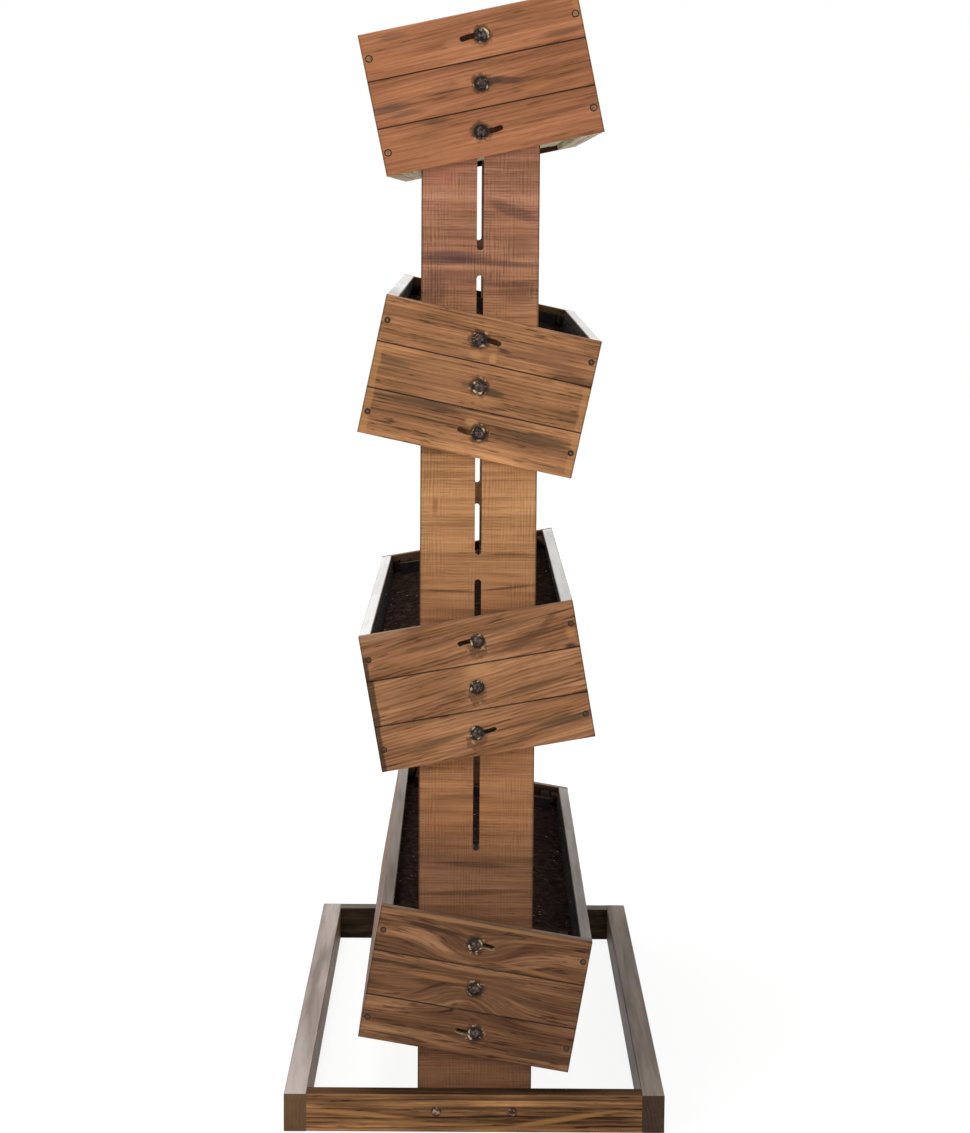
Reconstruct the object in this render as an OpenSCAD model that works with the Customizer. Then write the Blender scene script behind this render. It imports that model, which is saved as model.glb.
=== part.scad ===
// Vertical raised garden bed: four long planting troughs hang one above the other
// between two slotted posts that stand on a low timber base frame.
// Each trough turns on the middle bolt of three at either end, and the upper three
// also slide up and down the posts.
// X runs across the bed, Y from front to rear and Z up from the ground, where the
// origin lies under the middle of the base.

/* [Base frame] */
// Width of the base over the side rails
base_w = 610; // [540:5:760]
// Length of the base over the front and rear rails
base_l = 1220; // [900:10:1500]
// Thickness of the base rails
rail_t = 36; // [28:1:44]
// Height of the base rails
rail_h = 62; // [50:1:90]

/* [Posts] */
// Width of a slotted post
post_w = 183; // [150:1:190]
// Thickness of a slotted post
post_t = 37; // [30:1:44]
// Width of the slots in the posts
slot_w = 10.5; // [9.5:0.1:13]
// Length of the middle and lower slots
slot_l = 437; // [340:1:480]
// Length of the top slot
top_slot_l = 334; // [260:1:400]
// Solid wood left between two slots
slot_bridge = 39; // [25:1:60]
// Wood left above the top slot
post_cap = 13; // [10:1:60]
// Height of the lowest slot above the pivot of the bottom trough
slot_rise = 222; // [180:1:300]

/* [Troughs] */
// Width of a trough over its side walls
trough_w = 342; // [334:1:400]
// Height of one board, three of which make a wall or an end panel
board_h = 73; // [64:1:80]
// Thickness of the wall and panel boards
board_t = 19; // [15:0.5:23]
// Thickness of the floor boards
floor_t = 16; // [12:0.5:20]
// Width of the ledger strips under the floor
ledger_w = 18; // [14:1:26]
// Height of the ledger strips, which is also the recess under the floor
ledger_h = 10; // [8:1:24]
// Width of the corner cleats
cleat_w = 13; // [10:1:14]
// Depth of the corner cleats behind the end panels
cleat_d = 19; // [15:1:24]
// Thickness of the boards that box in the post
box_t = 16; // [12:1:20]
// How far the corner cleats stop below the rim
cleat_drop = 10; // [4:1:24]
// How far the post boxes and the liner stop below the rim
box_drop = 10; // [6:1:24]
// How far the liner stops below the rim at the corner cleats
corner_drop = 28; // [26:1:29]
// How far the middle of the soil lies below the rim
soil_drop = 30; // [28:1:60]
// How much lower the soil lies along the walls than in the middle
soil_crown = 5; // [0:1:12]
// Thickness of the liner between the wood and the soil
liner_t = 1.2; // [0.8:0.1:2.5]
// Distance of the wall boards' butt joint behind mid-length, top trough
butt_1 = 140; // [-300:5:250]
// Distance of the wall boards' butt joint behind mid-length, second trough
butt_2 = 25; // [-300:5:250]
// Distance of the wall boards' butt joint behind mid-length, third trough
butt_3 = -55; // [-300:5:250]
// Distance of the wall boards' butt joint behind mid-length, bottom trough
butt_4 = 200; // [-300:5:250]
// Step of the butt joint from one course of boards to the next
butt_step = 230; // [120:5:260]

/* [Heights and tilts] */
// Free height between the base and the bottom trough's corner at full tilt
base_gap = 26; // [16:1:80]
// How far the top trough's bolts lie below the end of their slot
top_drop = 2.5; // [0:0.5:80]
// How far the second trough's bolts lie above the end of their slot
second_lift = 188; // [100:1:220]
// How far the third trough's bolts lie above the end of their slot
third_lift = 169; // [100:1:200]
// Largest tilt of a trough to either side
tilt_max = 12; // [6:1:13]
// Share of the largest tilt at which the top trough stands, minus is left side down
tilt_1 = -1; // [-1:0.05:1]
// Share of the largest tilt at which the second trough stands
tilt_2 = 1; // [-1:0.05:1]
// Share of the largest tilt at which the third trough stands
tilt_3 = -0.84; // [-1:0.01:1]
// Share of the largest tilt at which the bottom trough stands
tilt_4 = 0.81; // [-1:0.01:1]
// Angle by which the third trough's rear end hangs lower than its front end
third_sag = 1.1; // [0:0.1:1.5]

/* [Hardware] */
// Diameter of the trough bolts
bolt_d = 8; // [6:0.5:9]
// Diameter of the trough bolts' round heads
head_d = 16.5; // [14:0.5:20]
// Height of the trough bolts' round heads
head_h = 4.5; // [3:0.5:7]
// Diameter of the trough bolts' washers
washer_d = 23; // [20:0.5:28]
// Thickness of every washer
washer_t = 1.8; // [1.2:0.1:3]
// Width across the flats of the trough bolts' nuts
nut_af = 13; // [12:0.5:17]
// Height of the trough bolts' nuts
nut_h = 6.5; // [5:0.5:9]
// Length of thread beyond every nut
tail = 5; // [2:0.5:10]
// Diameter of the base bolts
base_bolt_d = 6; // [5:0.5:8]
// Diameter of the base bolts' round heads
base_head_d = 16; // [11:0.5:17]
// Width across the flats of the base bolts' nuts
base_nut_af = 10; // [9.5:0.5:13]
// Distance between the two base bolts of a post
base_bolt_gap = 122; // [80:1:130]
// Height of the base bolts above the ground
base_bolt_z = 34; // [20:1:40]

/* [Fits] */
// Running clearance between pieces that slide or turn on each other
play = 0.3; // [0.2:0.05:0.5]
// Radial clearance of a pivot bolt in its hole
pivot_play = 0.08; // [0.05:0.01:0.1]
// Radial clearance of a thread in its nut
thread_play = 0.05; // [0.02:0.01:0.1]
// Clearance of the liner in the wood and of the soil in the liner
soft_gap = 0.2; // [0.1:0.05:0.5]
// Seam between two boards that lie side by side
seam = 0.4; // [0.2:0.1:1]
// Clearance of the trough around the post and the nuts
post_play = 4; // [2:0.5:6]
// Chamfer on the long edges of every board
ease = 1.2; // [0.5:0.1:2.5]

/* [Hidden] */

$fn = 48;
over = 1; // how far a cut runs past a face
dome_steps = 7; // straight steps in a head's round profile
crown_steps = 12; // straight steps across the soil's crown
arc_facets = 360; // facets a full arc slot would have
lead_in = 0.6; // chamfer at the end of a bolt
washer_rim = 1; // rim of a base washer beyond its nut's corners
courses = 3; // boards in a wall or end panel
floor_boards = 3; // boards between the outer floor boards
tiers = 4;

// Trough section, about the pivot in its middle
bolt_pitch = board_h;
wall_h = courses * board_h;
rim = wall_h / 2;
inner_x = trough_w / 2 - board_t;
floor_z = -rim + ledger_h;
inside_z = floor_z + floor_t;
box_top = rim - box_drop;

// Posts and the planes that the end panels run on
post_y = base_l / 2 - rail_t;
post_back = post_y - post_t;
tilt = [for (share = [tilt_1, tilt_2, tilt_3, tilt_4]) share * tilt_max];
sag = [0, 0, third_sag, 0];
butt = [butt_1, butt_2, butt_3, butt_4];

// The panel's reach over the post at full tilt, which a sagging trough needs room for
panel_reach = rim / cos(tilt_max) + post_w / 2 * tan(tilt_max);
panel_gap = [for (a = sag) play + panel_reach * sin(a) + post_y * (1 / cos(a) - 1)];
washer_gap = [for (a = sag) play + (bolt_pitch + washer_d / 2) * sin(a)];
panel_y = [for (g = panel_gap) post_y + g];
head_seat = [for (y = panel_y) y + board_t + play + washer_t];
nut_seat = [for (g = washer_gap) post_back - g - washer_t];

// Room for the post, its washers, nuts and thread ends inside a trough
box_x = post_w / 2 / cos(tilt_max) + -floor_z * tan(tilt_max) + post_play;
box_y = min(nut_seat) - nut_h - tail - post_play;
soil_y = box_y - box_t;

// Heights of the slots and of the trough pivots
tilt_reach = trough_w / 2 * sin(tilt_max) + rim * cos(tilt_max);
pivot_4 = rail_h + base_gap + tilt_reach;
slot_3 = pivot_4 + slot_rise;
slot_2 = slot_3 + slot_l + slot_bridge;
slot_1 = slot_2 + slot_l + slot_bridge;
post_h = slot_1 + top_slot_l + post_cap;
end_room = bolt_d / 2 + play;
sag_drop = post_y * sin(third_sag);
pivot = [
    slot_1 + top_slot_l - end_room - top_drop - bolt_pitch,
    slot_2 + end_room + second_lift + bolt_pitch,
    slot_3 + end_room + third_lift + bolt_pitch + sag_drop,
    pivot_4
];
slots = [[slot_1, top_slot_l], [slot_2, slot_l], [slot_3, slot_l]];

// Base hardware in proportion to the trough bolts
base_nut_h = nut_h * base_bolt_d / bolt_d;
base_head_h = head_h * base_head_d / head_d;
base_washer_d = base_nut_af / cos(30) + 2 * washer_rim;

// Colours
stained = ["sienna", "peru", "chocolate", "saddlebrown"];
frame_brown = "#5b3d28";
post_brown = "#a06b3f";
raw_wood = "burlywood";
steel = "dimgray";

// A board of size [x, y, z] about its middle, with its long edges along X, Y or Z eased
module board(size, along) {
    turn = along == "x" ? [90, 0, 90] : along == "y" ? [90, 0, 0] : [0, 0, 0];
    run = along == "x" ? size[0] : along == "y" ? size[1] : size[2];
    w = along == "x" ? size[1] : size[0];
    h = along == "z" ? size[1] : size[2];
    rotate(turn)
        linear_extrude(height = run, center = true)
            polygon([
                [-w / 2 + ease, -h / 2], [w / 2 - ease, -h / 2],
                [w / 2, -h / 2 + ease], [w / 2, h / 2 - ease],
                [w / 2 - ease, h / 2], [-w / 2 + ease, h / 2],
                [-w / 2, h / 2 - ease], [-w / 2, -h / 2 + ease]
            ]);
}

// Round-ended slot through a post, from its lower end at height z upwards
module post_slot(z, length) {
    r = slot_w / 2;
    translate([0, post_t / 2 + over, z + r])
        rotate([90, 0, 0])
            linear_extrude(height = post_t + 2 * over) {
                translate([-r, 0])
                    square([slot_w, length - slot_w]);
                circle(r = r);
                translate([0, length - slot_w])
                    circle(r = r);
            }
}

// Round-head bolt along +Y, with the flat of its head at the origin
module round_bolt(d, head, head_rise, length) {
    ball = (head * head / 4 + head_rise * head_rise) / (2 * head_rise);
    half_angle = asin(head / 2 / ball);
    rotate([-90, 0, 0])
        rotate_extrude()
            polygon(concat(
                [[0, length], [d / 2 - lead_in, length], [d / 2, length - lead_in], [d / 2, 0]],
                [for (i = [0:dome_steps])
                    let (a = half_angle * (1 - i / dome_steps))
                    [ball * sin(a), ball - head_rise - ball * cos(a)]]
            ));
}

// Hexagon nut along +Y from the origin
module hex_nut(d, across, height) {
    rotate([-90, 0, 0])
        difference() {
            cylinder(h = height, d = across / cos(30), $fn = 6);
            translate([0, 0, -over])
                cylinder(h = height + 2 * over, r = d / 2 + thread_play);
        }
}

// Flat washer along +Y from the origin
module flat_washer(d, outer) {
    rotate([-90, 0, 0])
        difference() {
            cylinder(h = washer_t, d = outer);
            translate([0, 0, -over])
                cylinder(h = washer_t + 2 * over, r = d / 2 + thread_play);
        }
}

// Puts its children at both ends of the bed, the second time turned end for end
module both_ends() {
    for (turn = [0, 180])
        rotate([0, 0, turn])
            children();
}

// Brings what is drawn about a trough's pivot line to the heights of that tier
module at_bolts(k) {
    translate([0, 0, pivot[k]])
        rotate([-sag[k], 0, 0])
            children();
}

// As at_bolts, and tilted as the trough stands
module at_trough(k) {
    at_bolts(k)
        rotate([0, tilt[k], 0])
            children();
}

// Base frame
module cross_rail(side) {
    color(frame_brown)
        difference() {
            translate([0, side * (base_l - rail_t) / 2, rail_h / 2])
                board([base_w - 2 * rail_t, rail_t, rail_h], "x");
            for (x = [-1, 1] * base_bolt_gap / 2)
                translate([x, side * (base_l / 2 + over), base_bolt_z])
                    rotate([side * 90, 0, 0])
                        cylinder(h = rail_t + 2 * over, r = base_bolt_d / 2 + play);
        }
}

module side_rail(side) {
    color(frame_brown)
        translate([side * (base_w - rail_t) / 2, 0, rail_h / 2])
            board([rail_t, base_l, rail_h], "y");
}

// Slotted post, its slots open for the three upper tiers and bored for the bottom one
module post(side) {
    color(post_brown)
        translate([0, side * (post_y - post_t / 2), 0])
            difference() {
                translate([0, 0, post_h / 2])
                    board([post_w, post_t, post_h], "z");
                for (s = slots)
                    post_slot(s[0], s[1]);
                for (step = [-1:1])
                    translate([0, post_t / 2 + over, pivot_4 + step * bolt_pitch])
                        rotate([90, 0, 0])
                            cylinder(h = post_t + 2 * over, r = bolt_d / 2 + play);
                for (x = [-1, 1] * base_bolt_gap / 2)
                    translate([x, post_t / 2 + over, base_bolt_z])
                        rotate([90, 0, 0])
                            cylinder(h = post_t + 2 * over, r = base_bolt_d / 2 + play);
            }
}

module base_bolts() {
    grip = rail_t + post_t + washer_t + base_nut_h + tail;
    color(steel)
        both_ends()
            for (x = [-1, 1] * base_bolt_gap / 2)
                translate([x, -base_l / 2, base_bolt_z])
                    round_bolt(base_bolt_d, base_head_d, base_head_h, grip);
}

module base_nuts() {
    color(steel)
        both_ends()
            for (x = [-1, 1] * base_bolt_gap / 2)
                translate([x, -post_back, base_bolt_z]) {
                    flat_washer(base_bolt_d, base_washer_d);
                    translate([0, washer_t + thread_play, 0])
                        hex_nut(base_bolt_d, base_nut_af, base_nut_h);
                }
}

// Arc slot about the pivot, wide enough for the bolt over the whole tilt
module arc_slot(r, side) {
    half = bolt_d / 2 + play;
    rotate([0, 0, side * 90 - tilt_max])
        rotate_extrude(angle = 2 * tilt_max, $fn = arc_facets)
            translate([r - half, -over])
                square([2 * half, board_t + 2 * over]);
    for (a = [-1, 1] * tilt_max)
        rotate([0, 0, side * 90 + a])
            translate([r, 0, -over])
                cylinder(h = board_t + 2 * over, r = half);
}

// End panel of three boards: a pivot hole in the middle one, arc slots in the others
module end_panel(k, side) {
    color(stained[k])
        at_trough(k)
            difference() {
                for (i = [-1:1])
                    translate([0, side * (panel_y[k] + board_t / 2), i * board_h])
                        board([trough_w, board_t, board_h - seam], "x");
                translate([0, side * (panel_y[k] + board_t / 2) + board_t / 2, 0])
                    rotate([90, 0, 0]) {
                        translate([0, 0, -over])
                            cylinder(h = board_t + 2 * over, r = bolt_d / 2 + pivot_play);
                        arc_slot(bolt_pitch, 1);
                        arc_slot(bolt_pitch, -1);
                    }
            }
}

// Side wall of three courses, each of two boards that meet end to end
module side_wall(k, side) {
    color(stained[k])
        at_trough(k)
            for (i = [-1:1]) {
                joint = butt[k] - (i % 2 == 0 ? butt_step : 0);
                front = -panel_y[k];
                rear = panel_y[k];
                translate([side * (inner_x + board_t / 2), 0, i * board_h]) {
                    translate([0, (front + joint - seam / 2) / 2, 0])
                        board([board_t, joint - seam / 2 - front, board_h - seam], "y");
                    translate([0, (rear + joint + seam / 2) / 2, 0])
                        board([board_t, rear - joint - seam / 2, board_h - seam], "y");
                }
            }
}

// Floor: short boards between the posts and a long board past either side of them
module floor_set(k) {
    short_w = 2 * box_x / floor_boards;
    long_w = inner_x - box_x;
    color(raw_wood)
        at_trough(k)
            translate([0, 0, floor_z + floor_t / 2]) {
                for (i = [0:floor_boards - 1])
                    translate([-box_x + (i + 0.5) * short_w, 0, 0])
                        board([short_w - seam, 2 * box_y, floor_t], "y");
                for (side = [-1, 1])
                    translate([side * (box_x + long_w / 2), 0, 0])
                        board([long_w - seam, 2 * panel_y[k], floor_t], "y");
            }
}

// Ledger strips that carry the floor along both walls
module ledgers(k) {
    color(raw_wood)
        at_trough(k)
            for (side = [-1, 1])
                translate([side * (inner_x - ledger_w / 2), 0, -rim + ledger_h / 2])
                    board([ledger_w, 2 * panel_y[k], ledger_h], "y");
}

// Upright cleats that join walls and end panels in the corners
module cleats(k) {
    height = rim - cleat_drop - inside_z;
    color(raw_wood)
        at_trough(k)
            for (x = [-1, 1] * (inner_x - cleat_w / 2))
                for (y = [-1, 1] * (panel_y[k] - cleat_d / 2))
                    translate([x, y, inside_z + height / 2])
                        board([cleat_w, cleat_d, height], "z");
}

// Boards that keep the soil off the post: one across the trough and one at either side
module post_boxes(k) {
    height = box_top - inside_z;
    side_l = panel_y[k] - box_y - seam;
    color(stained[k])
        at_trough(k)
            translate([0, 0, inside_z + height / 2])
                for (end = [-1, 1]) {
                    translate([0, end * (soil_y + box_t / 2), 0])
                        board([2 * (box_x + box_t), box_t, height], "x");
                    for (x = [-1, 1] * (box_x + box_t / 2))
                        translate([x, end * (panel_y[k] - side_l / 2), 0])
                            board([box_t, side_l, height], "z");
                }
}

// Plan of the room for soil: between the walls up to the corner cleats, set back where the
// post boxes stand, and drawn in all round by the margin
module soil_plan(k, margin) {
    reach = panel_y[k] - cleat_d;
    difference() {
        square([2 * (inner_x - margin), 2 * (reach - margin)], center = true);
        for (end = [-1, 1])
            translate([0, end * reach])
                square([2 * (box_x + box_t + margin), 2 * (reach - soil_y + margin)], center = true);
    }
}

// Liner sheet folded into a tray between wood and soil, cut lower at the corner cleats
module liner(k) {
    height = box_top - inside_z - soft_gap;
    low = rim - corner_drop;
    fold_y = panel_y[k] - cleat_d - soft_gap - liner_t;
    color("#1d1a18")
        at_trough(k)
            difference() {
                translate([0, 0, inside_z + soft_gap])
                    linear_extrude(height = height)
                        soil_plan(k, soft_gap);
                translate([0, 0, inside_z + soft_gap + liner_t])
                    linear_extrude(height = height)
                        soil_plan(k, soft_gap + liner_t);
                for (end = [-1, 1])
                    translate([-inner_x, end * (fold_y + cleat_d / 2) - cleat_d / 2, low])
                        cube([2 * inner_x, cleat_d, wall_h]);
            }
}

// Soil with a low crown across the trough
module soil(k) {
    margin = 2 * soft_gap + liner_t;
    top = rim - soil_drop;
    color("#2b201a")
        at_trough(k)
            intersection() {
                translate([0, 0, inside_z + margin])
                    linear_extrude(height = wall_h)
                        soil_plan(k, margin);
                rotate([90, 0, 0])
                    linear_extrude(height = 2 * panel_y[k], center = true)
                        polygon(concat(
                            [[inner_x, inside_z]],
                            [for (i = [0:crown_steps])
                                let (x = inner_x * (1 - 2 * i / crown_steps))
                                [x, top - soil_crown * pow(x / inner_x, 2)]],
                            [[-inner_x, inside_z]]
                        ));
            }
}

// Bolts of one tier, their heads outside the end panels
module tier_bolts(k) {
    length = head_seat[k] - nut_seat[k] + nut_h + tail;
    color(steel)
        at_bolts(k)
            both_ends()
                for (step = [-1:1])
                    translate([0, -head_seat[k], step * bolt_pitch])
                        round_bolt(bolt_d, head_d, head_h, length);
}

// Nuts of one tier, with the washers under them and under the bolt heads
module tier_nuts(k) {
    color(steel)
        at_bolts(k)
            both_ends()
                for (step = [-1:1])
                    translate([0, 0, step * bolt_pitch]) {
                        for (y = [head_seat[k], nut_seat[k] + washer_t])
                            translate([0, -y, 0])
                                flat_washer(bolt_d, washer_d);
                        translate([0, thread_play - nut_seat[k], 0])
                            hex_nut(bolt_d, nut_af, nut_h);
                    }
}

cross_rail(-1);  // front_rail
cross_rail(1);  // rear_rail
side_rail(-1);  // left_rail
side_rail(1);  // right_rail
post(-1);  // front_post
post(1);  // rear_post
base_bolts();
base_nuts();
for (k = [0:tiers - 1]) {
    tier = str("tier", k + 1);
    end_panel(k, -1);
    end_panel(k, 1);
    side_wall(k, -1);
    side_wall(k, 1);
    floor_set(k);
    ledgers(k);
    cleats(k);
    post_boxes(k);
    liner(k);
    soil(k);
    tier_bolts(k);
    tier_nuts(k);
}
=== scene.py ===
"""Dresses the vertical raised garden bed around its CAD frame, in metres."""

import logging
import math
from collections.abc import Callable, Iterator
from contextlib import contextmanager
from dataclasses import dataclass, field, replace
from enum import Enum

import bmesh
import bpy
from mathutils import Matrix, Vector


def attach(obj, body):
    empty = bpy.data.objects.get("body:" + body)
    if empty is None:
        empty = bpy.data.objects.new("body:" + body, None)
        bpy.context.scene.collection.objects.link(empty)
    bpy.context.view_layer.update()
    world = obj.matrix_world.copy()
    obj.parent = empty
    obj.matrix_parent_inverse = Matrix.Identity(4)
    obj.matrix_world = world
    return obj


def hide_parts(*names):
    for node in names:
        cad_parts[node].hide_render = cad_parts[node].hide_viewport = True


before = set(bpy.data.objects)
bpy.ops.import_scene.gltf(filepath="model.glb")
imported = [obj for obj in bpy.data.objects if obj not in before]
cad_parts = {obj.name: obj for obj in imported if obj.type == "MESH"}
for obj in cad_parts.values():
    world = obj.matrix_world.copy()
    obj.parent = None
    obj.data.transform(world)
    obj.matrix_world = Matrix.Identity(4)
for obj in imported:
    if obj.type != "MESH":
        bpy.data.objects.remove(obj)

Socket = bpy.types.NodeSocket
Material = bpy.types.Material
Piece = bpy.types.Object

log = logging.getLogger("garden_bed")
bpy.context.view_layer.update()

# Sizes of the solids, from the middle of a trough or a post
BOARD_H = 0.073
BOARD_T = 0.019
RIM = 1.5 * BOARD_H
INNER_X = 0.152
SOIL_Y = 0.50178
BOX_X = 0.13469
CLEAT_D = 0.019
INSIDE_Z = -0.0835
BOLT_PITCH = BOARD_H
POST_TOP = 1.75
FLOOR_PITCH = 0.0791
FLOOR_EDGE = -0.1187

# Screws, staples and the liner's folds, in the trough's frame
SCREW_X = 0.1625
SCREW_JITTER = (0.0008, -0.0011, 0.0013, -0.0006)
STAPLES = 6
STAPLE_FROM = -0.46
STAPLE_PITCH = 0.184
STAPLE_R = 0.0006
STAPLE_W = 0.0105
LINER_T = 0.0009
LINER_EDGE = 0.095
FOLDS = (-0.03, 0.03, 0.07)

# Noise turns per metre: across, through and along the grain
WANDER = (7.0, 7.0, 3.2)
WAVES = (26.0, 20.0, 12.0)
RAGS = (180.0, 60.0, 14.0)
FIBRE = (420.0, 300.0, 10.0)
STREAK = (46.0, 40.0, 2.4)
CLOUD = (17.0, 12.0, 5.0)
DASH = (330.0, 80.0, 26.0)
BLOT = (15.0, 15.0, 3.6)

# How dark a growth ring is from its start to its end
RING = ((0.0, 0.1), (0.4, 0.3), (0.82, 1.0), (0.95, 0.7), (1.0, 0.1))

# How far along its grain each board's noise lies from the next one's
BOARD_STEP = 3.7

# How deep the fine reliefs are
GRAIN_DEPTH = 0.0004
TARNISH_DEPTH = 0.00015
CRUMB_DEPTH = 0.003
WEAVE_DEPTH = 0.0003

# Saw lines' turns per metre in radians, and the heights between which they get stronger
UPRIGHT_LINES = 1240.0
LEVEL_LINES = 1420.0
STRONGER = (1.12, 1.30)

# Millimetres in a metre
MM = 1000

# Tones that all woods share
GAP_TONE = "20140d"
# Painted shade for the faces that look inward
INWARD_SHADE_TONE = "191310"
SLOT_TONE = "2a1d14"
# Grime and painted shade round the washers
GRIME_AND_SHADE_TONE = "33251b"
SCUFF_TONE = "c9a87c"
# Unstained slot-wall wood, its pale end brightened as painted light
BARE_AND_LIT_TONES = ("6b4f33", "f0dcb0")


def colour(code: str) -> tuple[float, float, float, float]:
    """Turns a written colour into the linear values that a shader takes.

    Args:
        code: Six hexadecimal digits, red, green and blue.

    Returns:
        Linear red, green, blue and an alpha of 1.
    """
    parts = [int(code[i:i + 2], 16) / 255 for i in (0, 2, 4)]
    linear = [p / 12.92 if p <= 0.04045 else ((p + 0.055) / 1.055) ** 2.4 for p in parts]
    return (linear[0], linear[1], linear[2], 1.0)


class Grain(Enum):
    """How a board lies: which local axes run along it, through it and across it."""

    PANEL = (0, 1, 2)
    WALL = (1, 0, 2)
    POST = (2, 1, 0)
    FLOOR = (1, 2, 0)


class Nodes:
    """Lays and joins the shader nodes of a material or a world."""

    def __init__(self, owner: bpy.types.ID) -> None:
        """Empties the owner's node tree.

        Args:
            owner: The material or world.
        """
        owner.use_nodes = True
        self.tree = owner.node_tree
        self.tree.nodes.clear()

    def feed(self, socket: Socket, value: object) -> None:
        """Joins a socket to another one, or sets its value.

        Args:
            socket: The input to feed.
            value: An output socket or a plain value.
        """
        if isinstance(value, Socket):
            self.tree.links.new(value, socket)
        else:
            socket.default_value = value

    def node(self, kind: str, inputs: dict[str | int, object] | None = None) -> bpy.types.Node:
        """Adds a node.

        Args:
            kind: Its kind, without the word ShaderNode.
            inputs: What its inputs are fed, by name or number.

        Returns:
            The node.
        """
        node = self.tree.nodes.new("ShaderNode" + kind)
        for key, value in (inputs or {}).items():
            self.feed(node.inputs[key], value)
        return node

    def math(self, operation: str, *values: object) -> Socket:
        """Adds a Math node.

        Args:
            operation: The node's operation.
            values: Its inputs in order.

        Returns:
            The result socket.
        """
        node = self.node("Math", dict(enumerate(values)))
        node.operation = operation
        return node.outputs[0]

    def add(self, first: object, second: object) -> Socket:
        """Adds two values."""
        return self.math("ADD", first, second)

    def sub(self, first: object, second: object) -> Socket:
        """Takes the second value from the first."""
        return self.math("SUBTRACT", first, second)

    def mul(self, first: object, second: object) -> Socket:
        """Multiplies two values."""
        return self.math("MULTIPLY", first, second)

    def mad(self, first: object, second: object, third: object) -> Socket:
        """Multiplies two values and adds a third."""
        return self.math("MULTIPLY_ADD", first, second, third)

    def size(self, value: object) -> Socket:
        """Drops a value's sign."""
        return self.math("ABSOLUTE", value)

    def swing(self, value: object, amount: float, onto: object) -> Socket:
        """Adds to a value some amount of how far another one is from 0.5."""
        return self.mad(self.sub(value, 0.5), amount, onto)

    def far(self, x: object, z: object) -> Socket:
        """How long the slant of two distances is."""
        return self.math("SQRT", self.add(self.mul(x, x), self.mul(z, z)))


class Recipe(Nodes):
    """Lays one material with a Principled shader."""

    def __init__(self, name: str) -> None:
        """Starts the material.

        Args:
            name: The material's name.
        """
        self.material = bpy.data.materials.new(name)
        super().__init__(self.material)
        self.shader = self.node("BsdfPrincipled")
        self.node("OutputMaterial", {"Surface": self.shader.outputs["BSDF"]})
        self.coords = self.node("TexCoord")

    def vector(self, *values: object) -> Socket:
        """Joins three values into a vector."""
        return self.node("CombineXYZ", dict(enumerate(values))).outputs[0]

    def split(self, source: Socket) -> list[Socket]:
        """Parts a vector into its three values."""
        return list(self.node("SeparateXYZ", {0: source}).outputs)

    def spot(self, *scales: float) -> Socket:
        """Object coordinates times one scale for all axes, or times one for each."""
        parts = self.split(self.coords.outputs["Object"])
        return self.vector(*(self.mul(part, scales[i % len(scales)]) for i, part in enumerate(parts)))

    def placed(self, output: str, place: Matrix) -> list[Socket]:
        """Brings object coordinates or normals into the frame of a tilted piece.

        Args:
            output: Object for points, Normal for directions.
            place: Where that frame lies in the object.

        Returns:
            The three values in that frame.
        """
        node = self.node("Mapping", {"Vector": self.coords.outputs[output]})
        if output == "Object":
            node.vector_type = "TEXTURE"
            node.inputs["Location"].default_value = place.to_translation()
            node.inputs["Rotation"].default_value = place.to_euler("XYZ")
        else:
            node.vector_type = "NORMAL"
            node.inputs["Rotation"].default_value = place.inverted().to_euler("XYZ")
        return self.split(node.outputs[0])

    def noise(self, source: Socket, detail: float = 2.0, roughness: float = 0.5, warp: float = 0.0) -> Socket:
        """Adds smooth noise of scale 1.

        Args:
            source: The coordinates, already scaled.
            detail: How many finer layers it has.
            roughness: How strong the finer layers are.
            warp: How much it is distorted.

        Returns:
            The noise, about 0.5 on average.
        """
        return self.node("TexNoise", {"Vector": source, "Scale": 1.0, "Detail": detail,
                                      "Roughness": roughness, "Distortion": warp}).outputs["Fac"]

    def draw(self, number: Socket) -> bpy.types.Node:
        """Draws lots, the same ones each time for the same number.

        Args:
            number: A whole number.

        Returns:
            The node, with a Value and a Color.
        """
        node = self.node("TexWhiteNoise")
        node.noise_dimensions = "1D"
        self.feed(node.inputs["W"], number)
        return node

    def ramp(self, source: Socket, *stops: tuple[float, object]) -> Socket:
        """Adds a colour ramp.

        Args:
            source: The value it reads.
            stops: Pairs of a position and a grey level or a written colour.

        Returns:
            The colour socket.
        """
        node = self.node("ValToRGB", {0: source})
        marks = node.color_ramp.elements
        while len(marks) < len(stops):
            marks.new(0.5)
        for mark, (spot, tone) in zip(marks, stops):
            mark.position = spot
            mark.color = colour(tone) if isinstance(tone, str) else (tone, tone, tone, 1.0)
        return node.outputs[0]

    def step(self, source: Socket, low: float, high: float) -> Socket:
        """Rises smoothly from 0 at low to 1 at high, or falls if low is the larger.

        Args:
            source: The value it reads.
            low: Where the result is 0.
            high: Where it is 1.

        Returns:
            A value from 0 to 1.
        """
        turned = float(low > high)
        node = self.node("MapRange", {"Value": source, "From Min": min(low, high), "From Max": max(low, high),
                                      "To Min": turned, "To Max": 1.0 - turned})
        node.interpolation_type = "SMOOTHSTEP"
        return node.outputs[0]

    def blend(self, share: object, first: object, second: object, kind: str = "MIX") -> Socket:
        """Mixes two colours, each a socket or written.

        Args:
            share: How much of the second shows.
            first: The colour below.
            second: The colour above.
            kind: The way they mix.

        Returns:
            The mixed colour.
        """
        node = self.node("Mix")
        node.data_type = "RGBA"
        node.blend_type = kind
        self.feed(node.inputs[0], share)
        for key, tone in ((6, first), (7, second)):
            self.feed(node.inputs[key], colour(tone) if isinstance(tone, str) else tone)
        return node.outputs[2]

    def bump(self, height: Socket, depth: float) -> None:
        """Gives the surface a fine relief.

        Args:
            height: The relief from 0 to 1.
            depth: How deep it is, in metres.
        """
        node = self.node("Bump", {"Strength": 1.0, "Distance": depth, "Height": height})
        self.feed(self.shader.inputs["Normal"], node.outputs[0])


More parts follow.
